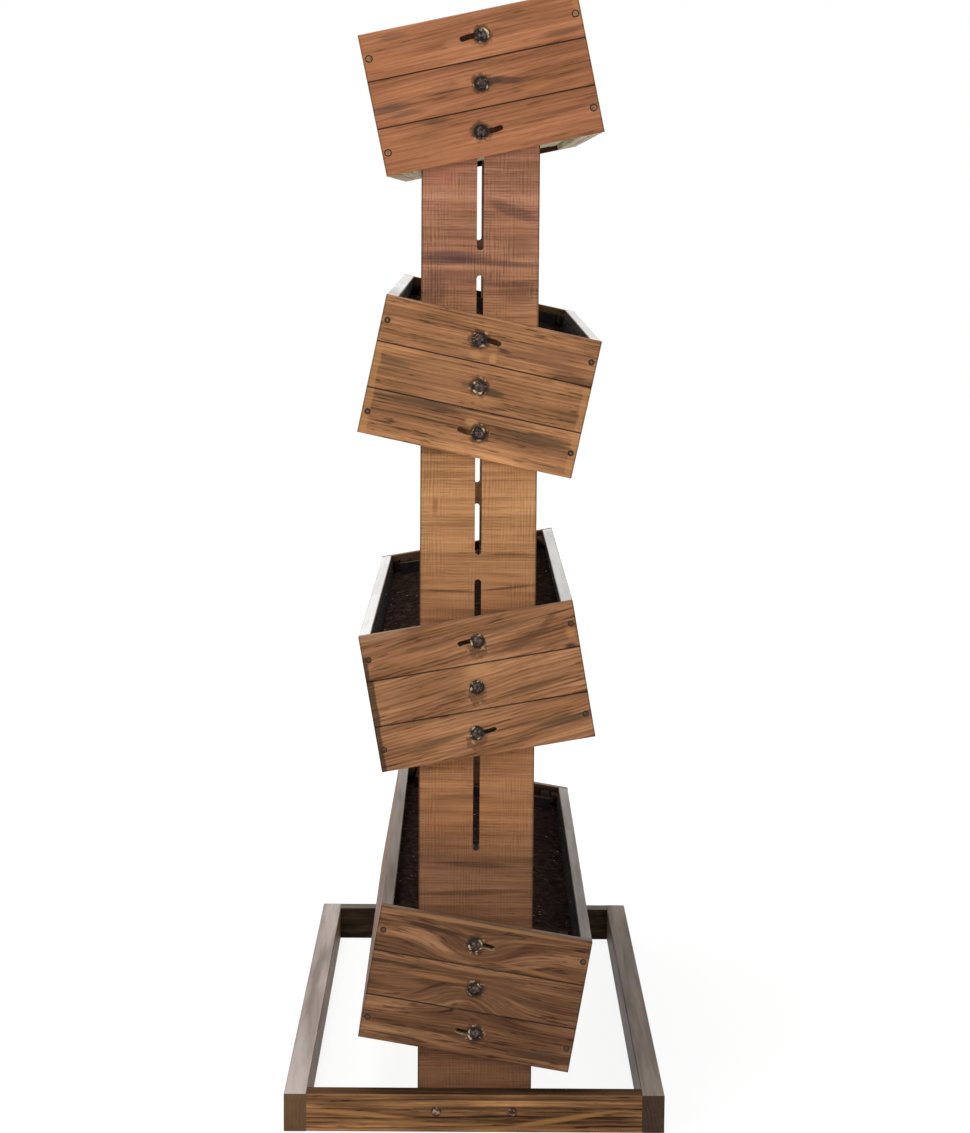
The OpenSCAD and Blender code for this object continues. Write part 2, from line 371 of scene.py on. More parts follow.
@dataclass(frozen=True)
class Boards:
    """How boards divide a node: courses of one pitch, each cut once along its run."""

    pitch: float = 10.0
    bottom: float = -5.0
    butt: float = 100.0
    butt_step: float = 0.0
    reach: float = 0.171


@dataclass(frozen=True)
class Mark:
    """A patch of stain, scuff, bare wood or painted shade, in millimetres from the middle bolt."""

    along: float
    across: float
    half_along: float
    half_across: float
    tone: str
    share: float = 0.6
    turn: float = 0.0
    ragged: float = 1.6


@dataclass(frozen=True)
class WoodFinish:
    """Stained and oiled wood, whose growth rings are cut from a log with its own pith."""

    name: str
    dark: str
    mid: str
    light: str
    smear: str = "4a3a2c"
    seed: int = 1
    ring_gap: float = 0.006
    rings: float = 0.25
    aside: float = 0.02
    pith: float = 0.035
    face: float = 0.0
    slope: float = 0.05
    lean: float = 0.0
    fan: float = 0.0
    fan_width: float = 0.06
    fan_height: float = 0.02
    wander: float = 0.02
    fibre: float = 0.5
    streak: float = 0.9
    dashes: float = 0.3
    shift: float = 0.15
    smears: float = 0.5
    saw: float = 0.0
    # Painted light and shade on the upward faces: how much of the top tones shows
    top_light_and_shade: float = 0.25
    top: tuple[str, str] = ("7d6f62", "c2b5a5")
    end_band: float = 0.0
    end_colour: str = "b07a4c"
    end_side: int = 0
    end_top: float = 1.0
    end_share: float = 0.75
    # How strongly the wood round the bolts is scuffed, with grime and painted shade round the washers
    bolt_scuff_and_shade: float = 0.0
    roughness: float = 0.5
    specular: float = 0.08
    # How much painted shade darkens the faces that look inward
    top_gloss: float = 0.0
    inward_shade: float = 0.0
    end_grain: str = ""
    bare_foot: str = ""
    edge_line: float = 0.0
    slot_shade: float = 0.0
    tints: tuple[tuple[float, str], ...] = ()
    marks: tuple[Mark, ...] = ()

    def build(self, place: Matrix, grain: Grain, boards: Boards, bolts_z: float = 0.0) -> Material:
        """Makes the material for one node.

        Args:
            place: The frame that the boards are square to.
            grain: How the boards lie in that frame.
            boards: How they divide the node.
            bolts_z: Height of the middle bolt, where the wood round the washers is scuffed, grimy and painted
                with shade.

        Returns:
            The finished material.
        """
        wood = Wood(self, place, grain, boards)
        wood.cut_rings()
        wood.colour_plain()
        for mark in self.marks:
            wood.lay_mark(mark)
        if self.saw:
            wood.draw_saw_lines()
        wood.line_edges()
        if self.tints:
            wood.tint()
        if self.bolt_scuff_and_shade:
            wood.scuff_and_shade_bolts(bolts_z)
            wood.bare_and_lit_slots()
        wood.tone_sides()
        wood.close()
        return wood.r.material


class Wood:
    """Lays one wood: where each point lies on its board, its grain, and the colour so far."""

    def __init__(self, finish: WoodFinish, place: Matrix, grain: Grain, boards: Boards) -> None:
        """Finds each point's board and the grain's run.

        Args:
            finish: The wood.
            place: The frame that the boards are square to.
            grain: How the boards lie in that frame.
            boards: How they divide the node.
        """
        r = Recipe(finish.name)
        self.r = r
        self.finish = finish
        self.grain = grain
        self.boards = boards
        self.parts = r.placed("Object", place)
        self.facing = r.placed("Normal", place)
        self.along, self.depth, self.across = (self.parts[i] for i in grain.value)
        course = r.math("FLOOR", r.math("DIVIDE", r.sub(self.across, boards.bottom), boards.pitch))
        joint = r.mad(r.math("COMPARE", course, 1.0, 0.1), -boards.butt_step, boards.butt)
        beyond = r.math("GREATER_THAN", self.along, joint)
        board = r.add(r.mad(course, 2.0, beyond), 10.0 * finish.seed)
        self.lots = r.split(r.draw(board).outputs["Color"])
        self.width = r.sub(self.across, r.mad(r.add(course, 0.5), boards.pitch, boards.bottom))
        self.run = r.mad(board, BOARD_STEP, self.along)
        self.flow = self.knotted() if finish.fan else r.mad(self.along, -finish.lean, self.width)
        self.fibre = self.noise(FIBRE, 3.0, 0.6)
        self.streak = self.noise(STREAK, 3.0, 0.6, 0.3)
        self.blot = self.noise(BLOT, 3.0, 0.55, 0.4)

    def noise(self, scales: tuple[float, float, float], *settings: float) -> Socket:
        """Adds noise that is stretched along the grain.

        Args:
            scales: Its turns per metre across, through and along the grain.
            settings: Its detail, roughness and warp.

        Returns:
            The noise, about 0.5 on average.
        """
        fast, through, slow = scales
        spot = self.r.vector(self.r.mul(self.run, slow), self.r.mul(self.depth, through),
                             self.r.mul(self.flow, fast))
        return self.r.noise(spot, *settings)

    def graded(self, value: Socket, none: float, full: float) -> Socket:
        """Goes from 0 where a value, whatever its sign, is at none to 1 where it is at full."""
        return self.r.step(self.r.size(value), none, full)

    def stain(self, where: Socket, share: object, tone: object) -> None:
        """Lays a tone over the part of the wood where a value is 1."""
        self.skin = self.r.blend(self.r.mul(where, share), self.skin, tone)

    def knotted(self) -> Socket:
        """Draws the grain together at a hidden knot.

        Returns:
            A value that stays the same along the grain.
        """
        r, finish = self.r, self.finish
        along = r.math("DIVIDE", r.add(self.along, 0.010), finish.fan_width)
        rise = r.sub(self.across, finish.fan_height)
        off = r.math("DIVIDE", rise, 0.045)
        pull = r.math("EXPONENT", r.mul(r.mad(along, along, r.mul(off, off)), -1.0))
        return r.mul(rise, r.mad(pull, finish.fan, 1.0))

    def cut_rings(self) -> None:
        """Cuts growth rings at a slant that wanders along the board."""
        r, finish = self.r, self.finish
        wander = r.sub(self.noise(WANDER, 2.0), 0.5)
        waves = r.sub(self.noise(WAVES, 1.0), 0.5)
        drift = r.mad(wander, 2 * finish.wander, r.mul(waves, 0.5 * finish.wander))
        slant = r.mul(r.sub(self.lots[0], 0.5), 2 * finish.slope)
        inside = r.sub(r.size(self.depth), finish.face) if finish.face else self.depth
        pith = r.add(r.mad(slant, self.along, finish.pith), r.add(drift, inside))
        aside = r.add(r.add(self.flow, r.swing(self.lots[1], 0.04, finish.aside)), drift)
        ragged = r.mad(self.noise(RAGS, 2.0), 0.0016, r.far(pith, aside))
        turns = r.math("DIVIDE", ragged, finish.ring_gap)
        lot = r.draw(r.math("FLOOR", turns)).outputs["Value"]
        self.ring = r.mul(r.ramp(r.math("FRACT", turns), *RING), r.mad(lot, 0.9, 0.45))
        self.relief = r.add(r.mul(self.fibre, 0.6), r.mul(self.ring, 0.25))

    def colour_plain(self) -> None:
        """Colours the wood from dark to light by its streaks, fibres and rings, with smears."""
        r, finish = self.r, self.finish
        tone = r.swing(self.streak, finish.streak, 0.5)
        tone = r.swing(self.noise(CLOUD, 2.0), 0.7 * finish.streak, tone)
        tone = r.swing(self.fibre, finish.fibre, tone)
        tone = r.mad(r.sub(self.ring, 0.4), -finish.rings, tone)
        tone = r.swing(self.lots[2], finish.shift, tone)
        dash = r.step(self.noise(DASH, 2.0, 0.6), 0.56, 0.70)
        tone = r.mad(dash, -0.5 * finish.dashes, tone)
        self.skin = r.ramp(tone, (0.12, finish.dark), (0.5, finish.mid), (0.88, finish.light))
        self.stain(r.step(self.blot, 0.54, 0.72), finish.smears, finish.smear)

    def lay_mark(self, mark: Mark) -> None:
        """Lays one patch on the wood, its edge drawn out along the grain.

        Args:
            mark: The patch.
        """
        r = self.r
        c, s = math.cos(math.radians(mark.turn)), math.sin(math.radians(mark.turn))
        along, across = mark.half_along / MM, mark.half_across / MM
        x = r.sub(self.along, mark.along / MM)
        z = r.sub(self.across, mark.across / MM)
        u = r.mad(x, c / along, r.mul(z, s / along))
        v = r.mad(z, c / across, r.mul(x, -s / across))
        rough = r.swing(self.fibre, 0.8, r.sub(self.streak, 0.5))
        self.stain(r.step(r.mad(rough, mark.ragged, r.far(u, v)), 1.25, 0.45), mark.share, mark.tone)

    def gauze(self, fast: Socket, slow: Socket, rate: float, patch: float) -> list[Socket]:
        """Draws evenly spaced saw lines that come and go in patches.

        Args:
            fast: Distance across the lines.
            slow: Distance along the lines.
            rate: The lines' turns per metre, in radians.
            patch: Offset of the noise that the lines come and go with.

        Returns:
            How much of a dark line and of a pale line shows.
        """
        r = self.r
        layers = ((60.0, 9.0, 0, 2.0), (20.0, 14.0, 3, 2.0), (300.0, 60.0, 5, 1.0))
        drawn, near, fine = (r.noise(r.vector(r.mul(fast, across), patch + shift, r.mul(slow, down)), detail)
                             for across, down, shift, detail in layers)
        wave = r.math("SINE", r.mad(fast, rate, r.mul(drawn, 14.0)))
        shown = r.mul(r.step(near, 0.34, 0.66), r.step(fine, 0.25, 0.65))
        return [r.mul(r.step(wave, side * 0.1, side * 0.95), shown) for side in (1, -1)]

    def draw_saw_lines(self) -> None:
        """Covers the wood with upright and level saw lines, stronger high up."""
        r, saw = self.r, self.finish.saw
        upright = self.gauze(self.along, self.across, UPRIGHT_LINES, 1.0)
        level = self.gauze(self.across, self.along, LEVEL_LINES, 7.0)
        dark, pale = (r.math("MAXIMUM", *pair) for pair in zip(upright, level))
        self.stain(dark, r.mad(r.step(self.across, *STRONGER), 0.4 * saw, 0.6 * saw), self.finish.smear)
        self.stain(pale, 0.45 * saw, self.finish.light)
        self.relief = r.mad(dark, -0.8, self.relief)

    def line_edges(self) -> None:
        """Lays the band at the boards' ends, the gaps between boards and the dark outer edge."""
        r, finish, along, boards = self.r, self.finish, self.along, self.boards
        if finish.end_band:
            side = r.mul(along, float(finish.end_side)) if finish.end_side else r.size(along)
            edge = r.add(side, r.mad(self.streak, 0.008, r.mul(self.lots[2], 0.006)))
            start = boards.reach - finish.end_band
            band = r.mul(r.step(edge, start, start + 0.003),
                         r.step(self.across, finish.end_top, finish.end_top - 0.004))
            self.stain(band, finish.end_share, finish.end_colour)
        if boards.pitch < 1.0:
            half = boards.pitch / 2
            gap = r.mul(self.graded(self.width, half - 0.0016, half - 0.0006),
                        self.graded(self.across, RIM - 0.004, RIM - 0.008))
            self.stain(gap, 0.85, GAP_TONE)
        edge = self.graded(along, boards.reach - 0.0032, boards.reach - 0.0010)
        self.stain(edge, finish.edge_line, GAP_TONE)

    def tint(self) -> None:
        """Tints the wood by its height: darker towards the bottom, partly the wood's own tone and partly
        painted shade.
        """
        shade = self.r.ramp(self.r.math("DIVIDE", self.parts[2], POST_TOP), *self.finish.tints)
        self.skin = self.r.blend(1.0, self.skin, shade, "MULTIPLY")

    def scuff_and_shade_bolts(self, bolts_z: float) -> None:
        """Scuffs the stain pale round the three bolts and paints a dark ring of grime and shade round each
        washer.

        Args:
            bolts_z: Height of the middle bolt.
        """
        r, share = self.r, self.finish.bolt_scuff_and_shade
        x, _, z = r.split(r.coords.outputs["Object"])
        grit = r.noise(r.vector(r.mul(x, 95.0), 3.0 * self.finish.seed, r.mul(z, 95.0)), 3.0, 0.6)
        for step in (-1, 0, 1):
            far = r.swing(grit, 0.022, r.far(x, r.sub(z, bolts_z + step * BOLT_PITCH)))
            # Dark ring round each washer: grime and painted shade
            self.stain(r.step(far, 0.0185, 0.0125), 0.75 * share, GRIME_AND_SHADE_TONE)
            self.stain(r.mul(r.step(grit, 0.57, 0.64), r.step(far, 0.0215, 0.016)), share, SCUFF_TONE)

    def bare_and_lit_slots(self) -> None:
        """Leaves the walls of the arc slots unstained, with painted light: the walls that face up are paler
        than the others.
        """
        r = self.r
        near = r.mul(self.graded(self.along, 0.056, 0.05), self.graded(self.across, 0.094, 0.09))
        # Painted light: the walls that face up get the paler tone
        bare = r.ramp(r.mad(self.facing[2], 0.4, self.fibre), (0.3, BARE_AND_LIT_TONES[0]), (0.75, BARE_AND_LIT_TONES[1]))
        self.stain(self.graded(self.facing[1], 0.55, 0.35), near, bare)

    def tone_sides(self) -> None:
        """Tones the faces apart: painted shade on inward faces, painted shade in the slots, end grain and a
        bare underside.
        """
        r, finish, facing = self.r, self.finish, self.facing
        end, side, _ = self.grain.value
        # Painted shade on the faces that look inward
        if finish.inward_shade:
            inward = r.mul(facing[side], r.math("SIGN", self.parts[side]))
            self.stain(r.step(inward, -0.5, -0.8), finish.inward_shade, INWARD_SHADE_TONE)
        if finish.slot_shade:
            inside = r.mul(self.graded(facing[1], 0.6, 0.3), self.graded(self.along, 0.02, 0.015))
            self.stain(inside, finish.slot_shade, SLOT_TONE)
        share = 0.8 if finish.end_grain else 0.45
        self.stain(self.graded(facing[end], 0.7, 0.95), share, finish.end_grain or finish.dark)
        if finish.bare_foot:
            foot = r.blend(self.fibre, finish.bare_foot, self.skin)
            self.skin = r.blend(r.step(facing[2], -0.6, -0.9), self.skin, foot)

    def close(self) -> None:
        """Lays the finish's top tones on the upward faces, painted light on lit tops and painted shade on
        shaded ones, and joins all to the shader.
        """
        r, finish = self.r, self.finish
        upward = r.step(self.facing[2], 0.6, 0.95)
        # Painted light and shade laid over the upward faces
        self.stain(upward, finish.top_light_and_shade, r.ramp(self.streak, (0.35, finish.top[0]), (0.62, finish.top[1])))
        r.feed(r.shader.inputs["Base Color"], self.skin)
        matt = r.mad(self.blot, 0.25, finish.roughness - 0.12)
        r.feed(r.shader.inputs["Roughness"], r.mad(upward, -0.4 * finish.top_gloss, matt))
        gloss = r.mad(upward, finish.top_gloss, finish.specular) if finish.top_gloss else finish.specular
        r.feed(r.shader.inputs["Specular IOR Level"], gloss)
        r.bump(self.relief, GRAIN_DEPTH)


@dataclass(frozen=True)
class SteelFinish:
    """Bronze-dark zinc plating with handling marks."""

    name: str
    dark: str = "1d1716"
    light: str = "6a5750"
    edges: tuple[float, float] = (0.4, 0.68)
    scale: float = 230.0
    gloss: float = 0.2
    metal: float = 0.85

    def build(self) -> Material:
        """Makes the material.

        Returns:
            The finished material.
        """
        r = Recipe(self.name)
        tarnish = r.noise(r.spot(self.scale), 3.0, 0.6, 0.4)
        low, high = self.edges
        r.feed(r.shader.inputs["Base Color"], r.ramp(tarnish, (low, self.dark), (high, self.light)))
        r.shader.inputs["Metallic"].default_value = self.metal
        r.feed(r.shader.inputs["Roughness"], r.mad(tarnish, 0.35, self.gloss))
        r.bump(tarnish, TARNISH_DEPTH)
        return r.material


@dataclass(frozen=True)
class SoilFinish:
    """Dark potting soil with pale crumbs."""

    name: str = "potting_soil"

    def build(self) -> Material:
        """Makes the material.

        Returns:
            The finished material.
        """
        r = Recipe(self.name)
        clods = r.noise(r.spot(70.0), 4.0, 0.65)
        skin = r.ramp(clods, (0.3, "201715"), (0.55, "392c28"), (0.75, "5a4a44"))
        cells = r.node("TexVoronoi", {"Vector": r.coords.outputs["Object"], "Scale": 110.0})
        lone = r.math("GREATER_THAN", r.split(cells.outputs["Color"])[0], 0.94)
        crumb = r.mul(lone, r.step(cells.outputs["Distance"], 0.26, 0.14))
        r.feed(r.shader.inputs["Base Color"], r.blend(r.mul(crumb, 0.7), skin, "b8aa98"))
        r.shader.inputs["Roughness"].default_value = 0.95
        r.shader.inputs["Specular IOR Level"].default_value = 0.0
        r.bump(r.add(clods, r.noise(r.spot(420.0), 3.0)), CRUMB_DEPTH)
        return r.material


@dataclass(frozen=True)
class LinerFinish:
    """Black woven liner sheet."""

    name: str = "liner_sheet"
    threads: float = 2600.0

    def build(self) -> Material:
        """Makes the material.

        Returns:
            The finished material.
        """
        r = Recipe(self.name)
        _, y, z = r.split(r.coords.outputs["Object"])
        weft, warp = (r.math("SINE", r.mul(v, self.threads)) for v in (y, z))
        haze = r.noise(r.spot(45.0), 3.0)
        r.feed(r.shader.inputs["Base Color"], r.ramp(haze, (0.35, "0c0b0b"), (0.7, "1f1c1b")))
        r.feed(r.shader.inputs["Roughness"], r.mad(haze, 0.3, 0.45))
        r.shader.inputs["Specular IOR Level"].default_value = 0.12
        r.bump(r.mul(weft, warp), WEAVE_DEPTH)
        return r.material


class Studio:
    """Camera, pale floor and soft light."""

    FOCAL_PX = 2791.584
    IMAGE_W = 970
    EYE = Vector((-0.012263, -4.930065, 1.480433))
    YAW, PITCH, ROLL = (math.radians(v) for v in (0.307, -7.459, 0.424))
    WHITE = (1, 1, 1, 1)
    PALE = (0.86, 0.86, 0.86, 1)
    SHADOW_FROM = 0.7
    SHADOW_TO = 1.7

    def camera(self) -> None:
        """Places the camera at the photograph's viewpoint."""
        ahead = Vector((math.sin(self.YAW) * math.cos(self.PITCH), math.cos(self.YAW) * math.cos(self.PITCH),
                        math.sin(self.PITCH)))
        right = ahead.cross(Vector((0, 0, 1))).normalized()
        up = right.cross(ahead)
        x = right * math.cos(self.ROLL) + up * math.sin(self.ROLL)
        y = up * math.cos(self.ROLL) - right * math.sin(self.ROLL)
        lens = bpy.data.cameras.new("eye")
        lens.sensor_fit = "HORIZONTAL"
        lens.sensor_width = 36.0
        lens.lens = self.FOCAL_PX / self.IMAGE_W * lens.sensor_width
        lens.clip_end = 60.0
        eye = bpy.data.objects.new("eye", lens)
        bpy.context.collection.objects.link(eye)
        turn = Matrix((x, y, -ahead)).transposed().to_4x4()
        eye.matrix_world = Matrix.Translation(self.EYE) @ turn
        bpy.context.scene.camera = eye

    def seen(self, nodes: Nodes) -> Socket:
        """1 for what the camera sees, straight or in a shine, and 0 for what only gives light."""
        path = nodes.node("LightPath")
        return nodes.math("MAXIMUM", path.outputs["Is Camera Ray"], path.outputs["Is Glossy Ray"])

    def floor(self) -> None:
        """Lays a pale floor that keeps a faint shadow near the bed."""
        choose()
        bpy.ops.mesh.primitive_plane_add(size=30.0, location=(0, 0, -0.0005))
        floor = bpy.context.object
        floor.name = "studio_floor"
        material = bpy.data.materials.new("floor_white")
        nodes = Nodes(material)
        away = nodes.node("VectorMath", {0: nodes.node("TexCoord").outputs["Object"]})
        away.operation = "LENGTH"
        share = nodes.node("MapRange", {"Value": away.outputs["Value"], "From Min": self.SHADOW_FROM,
                                        "From Max": self.SHADOW_TO, "To Min": 0.80, "To Max": 1.0})
        matt = nodes.node("BsdfDiffuse", {"Color": self.PALE})
        glow = nodes.node("Emission", {"Color": self.WHITE, "Strength": 1.1})
        mix = nodes.node("MixShader", {0: nodes.mul(self.seen(nodes), share.outputs[0]),
                                       1: matt.outputs[0], 2: glow.outputs[0]})
        nodes.node("OutputMaterial", {"Surface": mix.outputs[0]})
        floor.data.materials.append(material)

    def world(self) -> None:
        """Makes a white surround that lights the object softly."""
        world = bpy.data.worlds.new("white_surround")
        bpy.context.scene.world = world
        nodes = Nodes(world)
        strength = nodes.node("MapRange", {"Value": self.seen(nodes), "To Min": 0.42, "To Max": 1.0})
        surround = nodes.node("Background", {"Color": self.WHITE, "Strength": strength.outputs[0]})
        nodes.node("OutputWorld", {"Surface": surround.outputs[0]})

    def lamp(self, name: str, place: tuple[float, float, float], aim_z: float, size: float,
             power: float) -> None:
        """Hangs one soft lamp.

        Args:
            name: The lamp's name.
            place: Where it hangs.
            aim_z: The height of the point on the middle line that it faces.
            size: Its side.
            power: Its power in watts.
        """
        light = bpy.data.lights.new(name, "AREA")
        light.shape = "SQUARE"
        light.size = size
        light.energy = power
        lamp = bpy.data.objects.new(name, light)
        bpy.context.collection.objects.link(lamp)
        lamp.location = place
        lamp.rotation_euler = (Vector((0, 0, aim_z)) - Vector(place)).to_track_quat("-Z", "Y").to_euler()

    def build(self) -> None:
        """Sets up the whole studio."""
        self.camera()
        self.floor()
        self.world()
        self.lamp("left_box", (-3.2, -3.8, 2.6), 0.9, 2.2, 72.0)
        self.lamp("right_box", (3.4, -3.6, 2.2), 0.8, 2.2, 52.0)
        self.lamp("top_box", (-0.5, 0.4, 4.6), 0.8, 2.4, 110.0)
        bpy.context.scene.view_settings.view_transform = "Standard"


def choose(*pieces: Piece) -> None:
    """Selects some pieces and nothing else, and makes the first the active one.

    Args:
        pieces: The pieces, or none to leave nothing selected.
    """
    bpy.ops.object.select_all(action="DESELECT")
    for piece in pieces:
        piece.select_set(True)
    if pieces:
        bpy.context.view_layer.objects.active = pieces[0]


@contextmanager
def edit_mode() -> Iterator[None]:
    """Works on the active piece in edit mode."""
    bpy.ops.object.mode_set(mode="EDIT")
    yield
    bpy.ops.object.mode_set(mode="OBJECT")


def pick_faces(piece: Piece, test: Callable[[bmesh.types.BMFace], bool]) -> None:
    """Selects in edit mode the faces that pass a test, and no others.

    Args:
        piece: The piece in edit mode.
        test: Tells whether a face is wanted.
    """
    mesh = bmesh.from_edit_mesh(piece.data)
    for face in mesh.faces:
        face.select_set(test(face))
    bmesh.update_edit_mesh(piece.data)


def level_selected(piece: Piece, height: float) -> None:
    """Moves the selected points of a piece in edit mode to one height.

    Args:
        piece: The piece in edit mode.
        height: The height, before the piece is put in its place.
    """
    mesh = bmesh.from_edit_mesh(piece.data)
    for vertex in mesh.verts:
        if vertex.select:
            vertex.co.z = height
    bmesh.update_edit_mesh(piece.data)


def rod(vertices: int, radius: float, depth: float, location: tuple[float, float, float]) -> Piece:
    """Adds a short rod that lies along Y, with its place in its mesh.

    Args:
        vertices: Its corners.
        radius: Its radius.
        depth: Its length.
        location: Its middle.

    Returns:
        The rod.
    """
    choose()
    bpy.ops.mesh.primitive_cylinder_add(vertices=vertices, radius=radius, depth=depth, location=location,
                                        rotation=(math.pi / 2, 0, 0))
    bpy.ops.object.transform_apply(location=True, rotation=True, scale=True)
    return bpy.context.object


def joined(parts: list[Piece], name: str, place: Matrix) -> Piece:
    """Joins parts into one piece and brings it to its place.

    Args:
        parts: The parts, made in the frame that place describes.
        name: The piece's name.
        place: Where that frame lies.

    Returns:
        The piece.
    """
    choose(*parts)
    bpy.ops.object.join()
    piece = bpy.context.object
    piece.name = name
    piece.data.name = name
    piece.data.transform(place)
    return piece


def dress(node: str, material: Material) -> None:
    """Gives a CAD node its material.

    Args:
        node: The node's name.
        material: The material for all of its slots.
    """
    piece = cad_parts[node]
    if not piece.material_slots:
        piece.data.materials.append(material)
    for slot in piece.material_slots:
        slot.material = material


@dataclass(frozen=True)
class Stock:
    """The materials that all troughs share."""

    soil: Material
    liner: Material
    bolts: Material
    nuts: Material
    screws: Material
    shade_ring: Material


@dataclass(frozen=True)
class Screw:
    """A countersunk screw head that holds a panel to its walls."""

    head_d: float = 0.0078
    sleeve_d: float = 0.0096

    def build(self, place: tuple[float, float, float], outward: int, stock: Stock) -> Piece:
        """Makes the screw's head.

        Args:
            place: Its middle in the trough's frame.
            outward: -1 at the front, 1 at the rear.
            stock: Has the steel and the dark ring round the head, painted shade in the countersink's gap.

        Returns:
            The head.
        """
        head = rod(20, self.sleeve_d / 2, 0.0006, place)
        for material in (stock.screws, stock.shade_ring):
            head.data.materials.append(material)
        # The outer ring gets the painted shade
        for face in head.data.polygons:
            face.material_index = 1
        with edit_mode():
            pick_faces(head, lambda face: face.normal.y * outward > 0.9)
            bpy.ops.mesh.inset(thickness=(self.sleeve_d - self.head_d) / 2, depth=-0.0002)
            bpy.ops.mesh.inset(thickness=0.0004, depth=0.0003)
            for face in bmesh.from_edit_mesh(head.data).faces:
                if face.select:
                    face.material_index = 0
            bpy.ops.mesh.inset(thickness=0.0020, depth=0.0003)
            bpy.ops.mesh.inset(thickness=0.0004, depth=-0.0008)
        return head


@dataclass
class Trough:
    """One planting trough: its boards, soil, liner, screws and staples."""

    tier: int
    pivot_z: float
    tilt: float
    butt: float
    panel: WoodFinish
    wall: WoodFinish
    raw: WoodFinish
    inner: WoodFinish
    sag: float = 0.0
    panel_y: float = 0.5743
    soil_top: float = 0.0795
    crown: float = 0.005
    soil_gap: float = 0.0016
    liner_gap: float = 0.0002
    liner_top: float = 0.0995
    corner_top: float = 0.0815
    screw: Screw = Screw()
    place: Matrix = field(init=False)

    def __post_init__(self) -> None:
        """Works out the trough's frame."""
        drop = Matrix.Rotation(-math.radians(self.sag), 4, "X")
        lean = Matrix.Rotation(math.radians(self.tilt), 4, "Y")
        self.place = Matrix.Translation((0, 0, self.pivot_z)) @ drop @ lean

    @property
    def body(self) -> str:
        """The name of the trough's CAD body."""
        return f"tier{self.tier}_trough"

    def node(self, part: str) -> str:
        """The name of one of the trough's CAD nodes."""
        return f"tier{self.tier}_{part}"

    def dress_boards(self) -> None:
        """Gives every board of the trough its wood."""
        courses = Boards(pitch=BOARD_H, bottom=-RIM)
        dress(self.node("front_panel"), self.panel.build(self.place, Grain.PANEL, courses, self.pivot_z))
        # The rear panel's inside face gets stronger painted shade
        rear = replace(self.panel, name=self.panel.name + "_rear", seed=self.panel.seed + 20, inward_shade=0.8)
        dress(self.node("rear_panel"), rear.build(self.place, Grain.PANEL, courses, self.pivot_z))
        cut = Boards(pitch=BOARD_H, bottom=-RIM, butt=self.butt, butt_step=0.230, reach=self.panel_y)
        wall = self.wall.build(self.place, Grain.WALL, cut)
        for part in ("left_wall", "right_wall"):
            dress(self.node(part), wall)
        dress(self.node("post_boxes"), self.inner.build(self.place, Grain.PANEL, Boards()))
        dress(self.node("cleats"), self.inner.build(self.place, Grain.POST, Boards()))
        raw = self.raw.build(self.place, Grain.FLOOR, Boards(pitch=FLOOR_PITCH, bottom=FLOOR_EDGE))
        for part in ("floor", "ledgers"):
            dress(self.node(part), raw)

    def inside_grid(self, part: str, margin: float, cuts_x: int, cuts_y: int) -> Piece:
        """Lays a grid over the trough's inside, notched where the post boxes stand.

        Args:
            part: What the piece is called.
            margin: How far it keeps off the wood.
            cuts_x: Squares across the trough.
            cuts_y: Squares along the trough.

        Returns:
            The flat grid at height 0.
        """
        choose()
        bpy.ops.mesh.primitive_grid_add(x_subdivisions=cuts_x, y_subdivisions=cuts_y, size=1.0)
        grid = bpy.context.object
        grid.name = self.node(part)
        half = (INNER_X - margin, self.panel_y - CLEAT_D - margin)
        notch = (BOX_X + margin, SOIL_Y - margin)
        grid.scale = (2 * half[0], 2 * half[1], 1.0)
        bpy.ops.object.transform_apply(location=False, rotation=False, scale=True)
        for vertex in grid.data.vertices:
            for axis, cuts in enumerate((cuts_x, cuts_y)):
                if abs(abs(vertex.co[axis]) - notch[axis]) < half[axis] / cuts:
                    vertex.co[axis] = math.copysign(notch[axis], vertex.co[axis])

        def in_notch(face: bmesh.types.BMFace) -> bool:
            """Tells whether a square lies where a post box stands."""
            spot = face.calc_center_median()
            return abs(spot.x) < notch[0] and abs(spot.y) > notch[1]

        with edit_mode():
            pick_faces(grid, in_notch)
            bpy.ops.mesh.delete(type="FACE")
        return grid

    def soil(self, material: Material) -> None:
        """Heaps the soil in the liner.

        Args:
            material: The soil's material.
        """
        soil = self.inside_grid("soil_heap", self.soil_gap, 80, 290)
        half_x = INNER_X - self.soil_gap
        for vertex in soil.data.vertices:
            vertex.co.z = self.soil_top - self.crown * (vertex.co.x / half_x) ** 2
        for name, size, depth, strength in (("clods", 0.035, 3, 0.008), ("crumbs", 0.009, 2, 0.0045)):
            bumps = bpy.data.textures.new(self.node(name), "CLOUDS")
            bumps.noise_scale = size
            bumps.noise_depth = depth
            push = soil.modifiers.new(name, "DISPLACE")
            push.texture = bumps
            push.texture_coords = "LOCAL"
            push.strength = strength
            push.mid_level = 0.5
            push.direction = "Z"
            choose(soil)
            bpy.ops.object.modifier_apply(modifier=name)
        with edit_mode():
            bpy.ops.mesh.select_all(action="SELECT")
            bpy.ops.mesh.region_to_loop()
            bpy.ops.mesh.extrude_edges_move(TRANSFORM_OT_translate={"value": (0, 0, -0.12)})
            level_selected(soil, INSIDE_Z + self.soil_gap)
            bpy.ops.mesh.edge_face_add()
            bpy.ops.mesh.select_all(action="SELECT")
            bpy.ops.mesh.normals_make_consistent(inside=False)
        bpy.ops.object.shade_smooth_by_angle(angle=math.radians(60))
        self.finish(soil, material, "soil")
        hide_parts(self.node("soil"))

